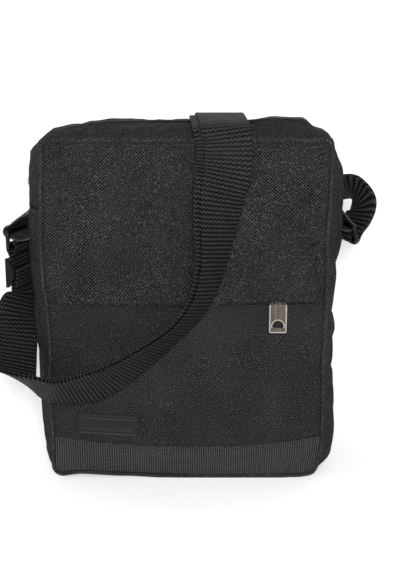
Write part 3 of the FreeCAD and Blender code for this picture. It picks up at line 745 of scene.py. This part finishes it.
# the fold: (height above its edge, distance in front of the face), in mm
curl = [(edge + up * mm, out * mm, 1.0)
        for up, out in ((panels["fold"] / mm, 2.8), (2, 2.8), (-0.1, 2.8), (-0.4, 2.95), (-0.3, 3.2))]
frontPanel = panelSheet("frontPanel", curl + flapRows, frontFace)
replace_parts(frontPanel, "front_panel")
pocketRows = [(z, 0.0, 0.0) for z in cornerHeights(seamLow, pocketTop)]
pocketPanel = panelSheet("pocketPanel", pocketRows, frontFace, 0.35)
for v in pocketPanel.data.vertices:
    # beside the zip the panel runs up under the fold
    beside = clip((abs(v.co.x) - panels["zipHalf"]) / (8 * mm))
    v.co.z += panels["beside"] * beside * clip(1 - (pocketTop - v.co.z) / (6 * mm))
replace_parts(pocketPanel, "pocket_panel")
backRows = [(z, 0.0, 0.0) for z in cornerHeights(seamLow, seamHigh)]
backPanel = panelSheet("backPanel", backRows, backFace)
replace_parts(backPanel, "back_panel")


def sewn(co):
    side = halfAt(min(max(co.z, seamLow), seamHigh)) - abs(co.x) + 3 * mm
    return 1.0 if min(side, co.z - seamLow, seamHigh - co.z) < panels["held"] else 0.0


settle(frontPanel, lambda co: 1.0 if co.z < edge + 9 * mm else sewn(co), panels["slack"], panels["most"])
settle(backPanel, sewn, panels["slack"], panels["most"])
for piece, thickness in ((frontPanel, panels["thin"]), (pocketPanel, panels["thick"]),
                         (backPanel, panels["thick"])):
    thicken(piece, thickness)
for piece, low, high, under in ((frontPanel, edge - panels["fold"], seamHigh, "padFoamFront"),
                                (pocketPanel, seamLow, pocketTop, "pocket_lining"),
                                (backPanel, seamLow, seamHigh, "padFoamBack")):
    high - low
print("panels made")

pipingShape = {"radius": 1.5 * mm, "out": 0.85 * mm, "wander": 0.12 * mm, "clear": 0.1 * mm}


def pipingLoop(name, face):
    path = []
    outward, share = (1, bodyShape["backShare"]) if face > 0 else (-1, 1.0)
    for x, z, nx, nz in loop:
        dx, dz = seamShift(x, z, share)
        out = pipingShape["out"] + pipingShape["wander"] * ripple((x, outward, z), 0.009, 5.0)
        path.append(Vector((x + dx + nx * out, face + outward * pipingShape["out"],
                            max(z + dz + nz * out, pipingShape["radius"] + pipingShape["clear"]))))
    return ringTube(name, path, pipingShape["radius"], pipingHighlightCloth)


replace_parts(pipingLoop("frontPiping", frontFace), "front_piping")
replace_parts(pipingLoop("backPiping", backFace), "back_piping")
print("piping made")

hem = {"height": 24.8 * mm, "rise": 9.0 * mm, "stand": 0.9 * mm, "start": 1.2 * mm, "thick": 0.6 * mm,
       "columns": 181, "stitchDown": 2 * mm, "stitchOut": 0.35 * mm}


def hemTop(x):
    return seamLow + hem["height"] + hem["rise"] * abs(x / halfWidth) ** 2.3


def hemBand():
    points, uvs = [], []
    columns, foot = hem["columns"], seamLow + hem["start"]
    rows = [0.0, 0.03, 0.08, 0.16, 0.26, 0.37, 0.48, 0.59, 0.70, 0.80, 0.88, 0.94, 0.975, 1.0, 1.005]
    for i in range(columns):
        u = 2 * i / (columns - 1) - 1
        for k in rows:
            z = foot + (hemTop(u * halfWidth) - foot) * k
            x = u * (halfAt(z) - 0.6 * mm)
            dx, dz = seamShift(x, z, 1.0)
            bulk = 0.3 * mm * math.sin(math.pi * min(1.0, k)) + 0.25 * mm * (0.9 < k < 0.99)
            lift = hem["stand"] * (0.1 if k > 1.0 else 1.0) + bulk
            wave = 0.35 * mm * ripple((x, 0, z), 0.05, 9.0)
            points.append((x + dx, frontFace - lift - wave * math.sin(math.pi * min(1.0, k)), z + dz))
            uvs.append((z, x))
    piece = makePiece("hemBand", points, gridFaces(columns, len(rows)), hemWeb, uvs)
    thicken(piece, hem["thick"])
    return piece


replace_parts(hemBand(), "hem_band")
seam = []
for u in spread(-1, 1, hem["columns"]):
    x = u * (halfWidth - 3 * mm)
    z = hemTop(x) - hem["stitchDown"]
    dx, dz = seamShift(x, z, 1.0)
    seam.append(Vector((x + dx, frontFace - hem["stand"] - hem["stitchOut"], z + dz)))
stitches("hemStitches", seam, Vector((0, -1, 0)))

patch = {"width": 50.5 * mm, "height": 18.6 * mm, "x": -66 * mm, "z": 46.6 * mm, "tilt": -3.6,
         "thick": 0.7 * mm, "cornerPoints": 11,
         # (distance in from the edge, height), in mm
         "frames": ((0.0, 0.35), (1.6, 0.35), (2.0, 0.0), (3.4, 0.0), (3.8, 0.28), (4.9, 0.28), (5.3, 0.05))}


def embossedPatch():
    tilt = math.radians(patch["tilt"])
    points = []
    steps = [(0.0, -patch["thick"] / mm), (0.0, -0.25), *patch["frames"]]
    each = patch["cornerPoints"]
    per = 4 * each
    for inset, lift in steps:
        w, h = patch["width"] / 2 - inset * mm, patch["height"] / 2 - inset * mm
        radius = max(0.4 * mm, 1.2 * mm - inset * 0.2 * mm)
        for corner, (sx, sz) in enumerate(((1, 1), (-1, 1), (-1, -1), (1, -1))):
            for k in range(each):
                angle = math.radians(90 * corner + 90 * k / (each - 1))
                px = sx * (w - radius) + radius * math.cos(angle)
                pz = sz * (h - radius) + radius * math.sin(angle)
                x = patch["x"] + px * math.cos(tilt) - pz * math.sin(tilt)
                z = patch["z"] + px * math.sin(tilt) + pz * math.cos(tilt)
                dx, dz = seamShift(x, z, 1.0)
                points.append((x + dx, frontFace - patch["thick"] - lift * mm, z + dz))
    faces = ringFaces(len(steps), per)
    faces.append(tuple((len(steps) - 1) * per + k for k in range(per)))
    return makePiece("embossedPatch", points, faces, patchRubber, solid=True)


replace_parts(embossedPatch(), "label_patch")
print("trim made")


strap = {"width": 38 * mm, "thick": 1.4 * mm, "gap": 0.4 * mm, "loopRadius": 4.2 * mm, "blend": 10 * mm,
         "endDrop": 16 * mm, "ringTail": 7 * mm, "seat": 1.45 * mm, "turnPoints": 15,
         # (length along the strap, how far the under run lies past the upper one's left edge)
         "slip": inMetres((150, 0), (240, 3.5), (320, 5.2), (400, 5.8), (470, 5.8), (520, 0))}

# place of the doubled strap's middle and direction of its left-hand edge
strapRoute = [
    (-0.1358, 0, 0.17, -0.34, -0.94, 0), (-0.1358, 0, 0.157, -0.34, -0.94, 0),
    (-0.1363, -0.0003, 0.151, -0.44, -0.90, 0),
    (-0.1392, -0.0018, 0.144, -0.68, -0.73, 0.02), (-0.1420, -0.0055, 0.132, -0.80, -0.60, 0.06),
    (-0.1428, -0.01, 0.118, -0.86, -0.48, 0.15), (-0.1425, -0.021, 0.102, -0.86, -0.4, 0.33),
    (-0.1395, -0.034, 0.091, -0.78, -0.38, 0.52), (-0.131, -0.045, 0.0875, -0.6, -0.45, 0.66),
    (-0.118, -0.052, 0.085, -0.3, -0.6, 0.75), (-0.102, -0.056, 0.083, 0, -0.7, 0.72),
    (-0.08, -0.058, 0.087, -0.25, -0.62, 0.76), (-0.058, -0.059, 0.097, -0.36, -0.7, 0.62),
    (-0.033, -0.061, 0.115, -0.38, -0.82, 0.42), (-0.005, -0.0625, 0.138, -0.3, -0.9, 0.33),
    (0.013, -0.062, 0.163, -0.38, -0.89, 0.27), (0.022, -0.059, 0.196, -0.55, -0.79, 0.22),
    (0.027, -0.054, 0.236, -0.84, -0.5, 0.2), (0.0315, -0.047, 0.262, -0.97, -0.2, 0.1),
    (0.032, -0.0425, 0.279, -1, -0.04, 0), (0.03, -0.035, 0.291, -1, 0, 0),
    (0.028, -0.018, 0.2955, -1, 0, 0), (0.026, 0.004, 0.297, -1, 0, 0), (0.025, 0.028, 0.2925, -1, 0, 0),
    (0.026, 0.0425, 0.28, -1, 0, 0), (0.031, 0.0445, 0.262, -0.98, 0, -0.2),
    (0.046, 0.0455, 0.242, -0.85, 0.1, -0.5), (0.071, 0.046, 0.23, -0.45, 0.1, -0.88),
    (0.096, 0.047, 0.228, -0.12, 0.25, -0.95), (0.112, 0.0513, 0.23, -0.1, 0.45, -0.88),
    (0.124, 0.047, 0.2315, -0.2, 0.75, -0.62), (0.134, 0.04, 0.2315, -0.35, 0.9, -0.25),
    (0.141, 0.032, 0.228, -0.42, 0.9, -0.1), (0.145, 0.024, 0.219, -0.45, 0.89, 0),
    (0.141, 0.0196, 0.207, -0.36, 0.93, 0),
]

rings = {"half": 6 * mm, "leftTurn": math.radians(20), "rightLean": math.radians(15), "rightDepth": 15 * mm,
         "bulge": 14 * mm}


def ringBars(node, down):
    low, high = (Vector(c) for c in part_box(node))
    middle = (low + high) / 2
    return middle - down * rings["half"], middle + down * rings["half"]


leftAcross = Vector((-math.sin(rings["leftTurn"]), -math.cos(rings["leftTurn"]), 0))
leftTop, leftLow = ringBars("ring_left", Vector((0, 0, -1)))
rightSlope = -2 * rings["bulge"] * rings["rightDepth"] / edgeDepth ** 2
rightAcross = Vector((rightSlope, 1, 0)).normalized()
rightOut = Vector((rightAcross.y, -rightAcross.x, 0))
rightDown = rightOut * math.sin(rings["rightLean"]) - Vector((0, 0, math.cos(rings["rightLean"])))
rightTop, rightLow = ringBars("ring_right", rightDown)


def routeStations(steps):
    # (middle, direction of travel, edge direction, face direction) along the strap
    first = leftLow - Vector((0, 0, strap["seat"]))
    last = rightLow + (Vector(strapRoute[-1][:3]) - rightLow).normalized() * strap["seat"]
    rows = [(*first, *leftAcross)] + strapRoute + [(*last, *rightAcross)]
    rows = [tuple(2 * a - b for a, b in zip(rows[0], rows[1]))] + rows
    rows.append(tuple(2 * a - b for a, b in zip(rows[-1], rows[-2])))
    dense = []
    for i in range(1, len(rows) - 2):
        p0, p1, p2, p3 = rows[i - 1:i + 3]
        for k in range(steps):
            t = k / steps
            dense.append([0.5 * (2 * b + (c - a) * t + (2 * a - 5 * b + 4 * c - d) * t * t
                                 + (3 * b - a - 3 * c + d) * t ** 3) for a, b, c, d in zip(p0, p1, p2, p3)])
    dense.append(list(rows[-2]))
    stations = []
    for i, row in enumerate(dense):
        here = Vector(row[:3])
        before, after = dense[max(i - 1, 0)], dense[min(i + 1, len(dense) - 1)]
        ahead = (Vector(after[:3]) - Vector(before[:3])).normalized()
        across = Vector(row[3:])
        across = (across - ahead * across.dot(ahead)).normalized()
        stations.append((here, ahead, across, ahead.cross(across)))
    return stations


def webbingBand(name, stations, body="root"):
    # rounded flat band through (middle, edge direction, face direction), ribs counted along its length
    width, thick = strap["width"], strap["thick"]
    upper = [(-0.5, 0.0), (-0.492, 0.36), (-0.46, 0.5), (-0.30, 0.44), (-0.1, 0.46), (0.1, 0.46),
             (0.30, 0.44), (0.46, 0.5), (0.492, 0.36)]
    section = upper + [(-a, -b) for a, b in upper]
    points, uvs, lengths = [], [], lengthsAlong([s[0] for s in stations])
    for (middle, across, out), gone in zip(stations, lengths):
        for a, b in section:
            points.append(middle + across * a * width + out * b * thick)
            uvs.append((a * width, gone))
    n = len(section)
    faces = ringFaces(len(stations), n)
    faces.append(tuple(range(n))[::-1])
    faces.append(tuple((len(stations) - 1) * n + k for k in range(n)))
    return makePiece(name, points, faces, strapWeb, uvs, body, solid=True), lengths[-1]


def turnRound(middle, ahead, across, normal, radius, first, last):
    out = []
    for angle in spread(math.radians(first), math.radians(last), strap["turnPoints"]):
        way = normal * math.cos(angle) + ahead * math.sin(angle)
        out.append((middle + way * radius, across, way))
    return out


stations = routeStations(8)
strapGone = lengthsAlong([s[0] for s in stations])
lay = strap["thick"] / 2 + strap["gap"] / 2


def strapRun(side, skip=0.0):
    run = []
    for (middle, ahead, across, normal), gone in zip(stations, strapGone):
        if gone < skip:
            continue
        near = min(gone, strapGone[-1] - gone)
        k = max(0.0, 1 - near / strap["blend"])
        off = lay + (strap["loopRadius"] - lay) * k * k * (3 - 2 * k)
        loose = 0.5 + 0.5 * ripple((gone, side, 0), 0.12, 2.0)
        free = clip((near - 0.06) / 0.05)
        slip = across * (smoothAlong(strap["slip"], gone) if side < 0 else 0.0)
        run.append((middle + slip + normal * side * (off + 0.5 * mm * loose * free), across, normal * side))
    return run


glideLow, glideHigh = (Vector(c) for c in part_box("strap_adjuster"))
glide = (glideLow + glideHigh) / 2
start, end = stations[0], stations[-1]
firstTurn = turnRound(start[0], -start[1], start[2], start[3], strap["loopRadius"], 180, 0)
tail = [(start[0] + start[1] * strap["ringTail"] - start[3] * (lay + 0.3 * mm), start[2], -start[3])]
lastTurn = turnRound(end[0], end[1], end[2], end[3], strap["loopRadius"], 0, 180)
under = start[0].z - (glide.z - strap["endDrop"])
whole = tail + firstTurn + strapRun(1)[1:-1] + lastTurn + strapRun(-1, under)[:-1][::-1]
strapPiece, strapLength = webbingBand("shoulderStrap", whole)
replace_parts(strapPiece, "shoulder_strap")
print("strap made, length", round(strapLength, 3))

# loop sewn round the adjuster's middle bar
endShape = {"bar": 1.25 * mm, "play": 0.25 * mm, "start": 3.5 * mm, "tail": 15.5 * mm}
across, outward, below = start[2], start[3], Vector((0, 0, -1))
barOut = lay - strap["thick"] / 2 - endShape["play"] - endShape["bar"] - strap["thick"]
onStrap = Vector((start[0].x, start[0].y, glide.z))
barPlace = onStrap + outward * barOut
loopRadius = endShape["bar"] + strap["thick"] / 2
tailOut = -lay - strap["thick"] - 0.3 * mm
endLoop = [(barPlace + outward * loopRadius + below * endShape["start"], across, outward)]
endLoop += turnRound(barPlace, -below, across, outward, loopRadius, 0, 180)
for out, share in (((tailOut - loopRadius + barOut) / 2, 1 / 3), (tailOut, 2 / 3), (tailOut, 1)):
    endLoop.append((onStrap + outward * out + below * endShape["tail"] * share, across, -outward))
endPiece, endLength = webbingBand("strapEndLoop", endLoop, "adjuster")
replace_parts(endPiece, "strap_end_loop")

tabs = {"thick": 1.4 * mm, "top": 222 * mm, "sunk": 1.0 * mm, "edge": 0.3 * mm, "columns": 15, "steps": 8,
        "left": {"radius": 4.8 * mm, "low": 202 * mm, "puff": 2.6 * mm},
        "right": {"radius": 3.0 * mm, "low": 205 * mm, "puff": 0.8 * mm}}


def sideTab(name, node, side, bar, slope, shape):
    # webbing loop from the gusset round the ring's upper bar
    points, uvs = [], []
    columns, steps, top = tabs["columns"], tabs["steps"], tabs["top"]
    radius, low, puff = shape["radius"], shape["low"], shape["puff"]
    for i in range(columns):
        w = (i / (columns - 1) - 0.5) * strap["width"]
        y = bar.y + w
        barX = bar.x + slope * w
        root = side * (halfWidth + rings["bulge"] * (1 - (y / edgeDepth) ** 2) - tabs["sunk"])
        path = []
        for t in spread(0, 1, steps):
            rise = puff * math.sin(math.pi * t)
            path.append(Vector((root + (barX - root) * t, y, top + (bar.z + radius - top) * t + rise)))
        for k in range(1, 12):
            angle = math.pi / 2 - math.pi * k / 12
            path.append(Vector((barX + side * radius * math.cos(angle), y, bar.z + radius * math.sin(angle))))
        under = bar.z - radius
        for t in spread(0, 1, steps):
            sag = 1.1 * puff * math.sin(math.pi * min(1.0, 1.25 * t))
            path.append(Vector((barX + (root - barX) * t, y, under + (low - under) * t - sag)))
        lengths = lengthsAlong(path)
        points += path
        uvs += [(w, gone) for gone in lengths]
    piece = makePiece(name, points, gridFaces(columns, len(path), side > 0), tabWeb, uvs)
    thicken(piece, tabs["thick"], 0.0, tabs["edge"])
    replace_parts(piece, node)


sideTab("tabLeft", "side_tab_left", -1, leftTop, math.tan(rings["leftTurn"]), tabs["left"])
sideTab("tabRight", "side_tab_right", 1, rightTop, rightSlope, tabs["right"])
print("tabs made")

pads = {"round": 0.35, "dent": 0.06, "dentSize": 0.02, "cuts": 14, "fill": 0.95}


def softSlab(node, material):
    low, high = (Vector(c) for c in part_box(node))
    size = high - low
    thin = min(range(3), key=lambda k: size[k])
    mesh = bmesh.new()
    bmesh.ops.create_cube(mesh, size=1.0)
    for v in mesh.verts:
        v.co = Vector([low[k] + size[k] * (v.co[k] + 0.5) for k in range(3)])
    bmesh.ops.bevel(mesh, geom=mesh.edges[:], offset=min(size) * pads["round"], segments=4, profile=0.6,
                    affect="EDGES")
    long = [e for e in mesh.edges if e.calc_length() > 30 * mm]
    bmesh.ops.subdivide_edges(mesh, edges=long, cuts=pads["cuts"], use_grid_fill=True)
    middle = (low + high) / 2
    for v in mesh.verts:
        dent = ripple(v.co, pads["dentSize"], 6.0) * min(size) * pads["dent"]
        v.co[thin] += math.copysign(-abs(dent), v.co[thin] - middle[thin])
    name = node.replace("_", " ").title().replace(" ", "")
    data = bpy.data.meshes.new(name)
    mesh.to_mesh(data)
    mesh.free()
    pad = addMesh("pad" + name, data, material)
    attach(pad, "root")
    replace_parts(pad, node)


for node in ("foam_front", "foam_back", "foam_bottom", "foam_left", "foam_right"):
    softSlab(node, foamGrey)
softSlab("padded_divider", liningCloth)
print("padding made")

finishes = {
    "main_zip_slider": nickel, "pocket_zip_slider": enamel,
    "main_zip_pull": makePull("main pull nickel", "main_zip_pull", 1.5 * mm),
    "pocket_zip_pull": makePull("pocket pull nickel", "pocket_zip_pull", 0.95 * mm, bare=2),
    "main_zip_stops": enamel, "pocket_zip_stops": enamel, "pocket_zip_coils": coilPlastic,
    "pocket_zip_tapes": zipCloth, "ring_left": enamel, "ring_right": enamel, "strap_adjuster": glidePlastic,
    "base_board": boardPlastic, "lining_walls": liningCloth, "pocket_lining": liningCloth,
    "divider_hook_tapes": zipCloth,
}
for node, material in finishes.items():
    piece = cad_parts[node]
    piece.data.materials.clear()
    piece.data.materials.append(material)
print("finishes set")

studio = {"behind": 0.13, "bend": 0.07, "floor": (0.90, 0.90, 0.89), "lift": 0.38, "width": 3.0,
          "height": 1.6, "front": -2.2, "room": 0.42, "aimHeight": 0.14}


def sweep():
    profile = [(studio["front"], 0.0)]
    bend, behind = studio["bend"], studio["behind"]
    for k in range(17):
        angle = math.radians(90 * k / 16)
        profile.append((behind - bend + bend * math.sin(angle), bend - bend * math.cos(angle)))
    profile.append((behind, studio["height"]))
    points = []
    for y, z in profile:
        points += [(-studio["width"], y, z), (studio["width"], y, z)]
    mesh = bpy.data.meshes.new("paperSweep")
    mesh.from_pydata(points, [], gridFaces(len(profile), 2, True))
    s = Shade("paper")
    seen, glossy, through = s.add("LightPath", out=["Is Camera Ray", "Is Glossy Ray", "Is Transmission Ray"])
    plain = s.add("BsdfDiffuse", [rgb(*studio["floor"])])
    white = s.add("Emission", {"Color": rgb(1, 1, 1), "Strength": 1.0})
    share = (seen + glossy + through).math("MINIMUM", 1.0) * studio["lift"]
    face = s.add("MixShader", [share, plain, white])
    clear = s.add("BsdfTransparent")
    behindIt = s.add("NewGeometry", out="Backfacing")
    both = s.add("MixShader", [behindIt, face, clear])
    s.add("OutputMaterial", [both], out=[])
    addMesh("paperSweep", mesh, s.mat)


sweep()

world = bpy.data.worlds.new("room")
scene.world = world
world.use_nodes = True
room = world.node_tree.nodes["Background"].inputs
room["Color"].default_value = rgb(1, 1, 1)
room["Strength"].default_value = studio["room"]

lamps = {
    "key": {"at": (0.06, -1.15, 0.62), "size": 0.30, "power": 19.0},
    "left": {"at": (-1.3, -0.5, 0.9), "size": 0.8, "power": 5.0},
    "rear": {"at": (0.9, 1.1, 1.1), "size": 0.8, "power": 8.0},
}
for name, lamp in lamps.items():
    data = bpy.data.lights.new(name, "AREA")
    data.size = lamp["size"]
    data.energy = lamp["power"]
    light = bpy.data.objects.new(name, data)
    scene.collection.objects.link(light)
    light.location = lamp["at"]
    aim = Vector((0, 0, studio["aimHeight"])) - light.location
    light.rotation_euler = aim.to_track_quat("-Z", "Y").to_euler()

scene.view_settings.view_transform = "Standard"
print("light set")
